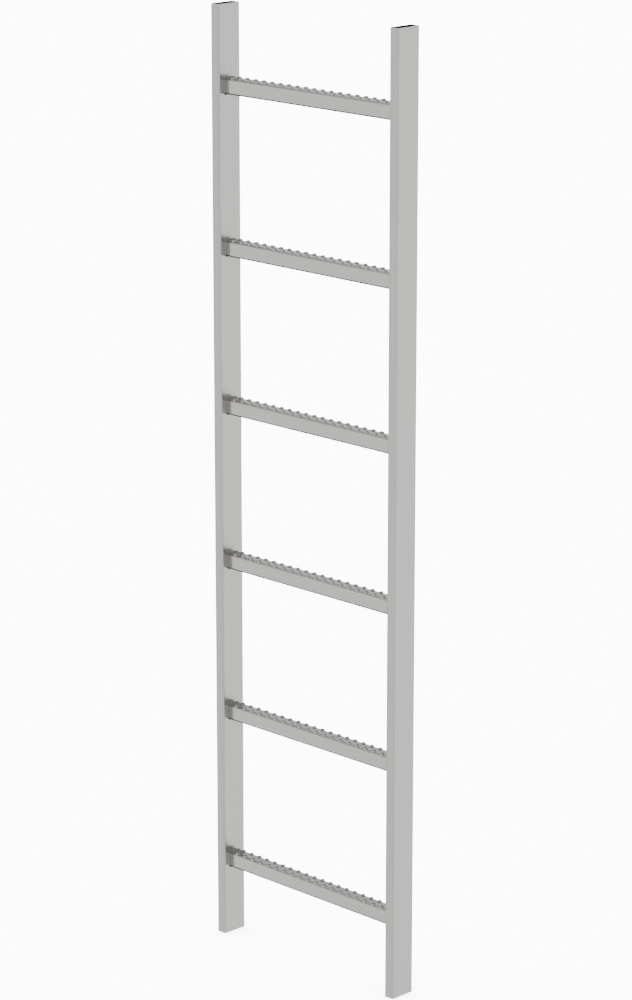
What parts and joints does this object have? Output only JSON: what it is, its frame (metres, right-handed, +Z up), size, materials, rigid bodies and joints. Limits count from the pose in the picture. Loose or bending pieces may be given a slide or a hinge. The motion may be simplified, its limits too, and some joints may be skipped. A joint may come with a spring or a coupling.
{
  "type": "ladder section",
  "caption": "Straight welded stainless-steel ladder section with hollow rectangular stiles and anti-slip C-section rungs, fixed upright for boarding or access.",
  "frame": {"origin": "on the floor, midway between the lower ends of the two stiles", "axes": "+Z up along the stiles, +X from the left stile to the right stile as seen by the climber, +Y away from the climber towards the wall"},
  "size_m": [0.44, 0.05, 1.68],
  "materials": {
    "stile_steel": "satin stainless steel, brushed along the stile",
    "rung_steel": "satin stainless sheet, brushed along the rung",
    "weld_steel": "pickled weld bead"
  },
  "bodies": {
    "root": {"stile_left": "stile_steel", "stile_right": "stile_steel", "rung_1": "rung_steel", "rung_2": "rung_steel", "rung_3": "rung_steel", "rung_4": "rung_steel", "rung_5": "rung_steel", "rung_6": "rung_steel", "weld_1_left": "weld_steel", "weld_1_right": "weld_steel", "weld_2_left": "weld_steel", "weld_2_right": "weld_steel", "weld_3_left": "weld_steel", "weld_3_right": "weld_steel", "weld_4_left": "weld_steel", "weld_4_right": "weld_steel", "weld_5_left": "weld_steel", "weld_5_right": "weld_steel", "weld_6_left": "weld_steel", "weld_6_right": "weld_steel"}
  },
  "joints": []
}
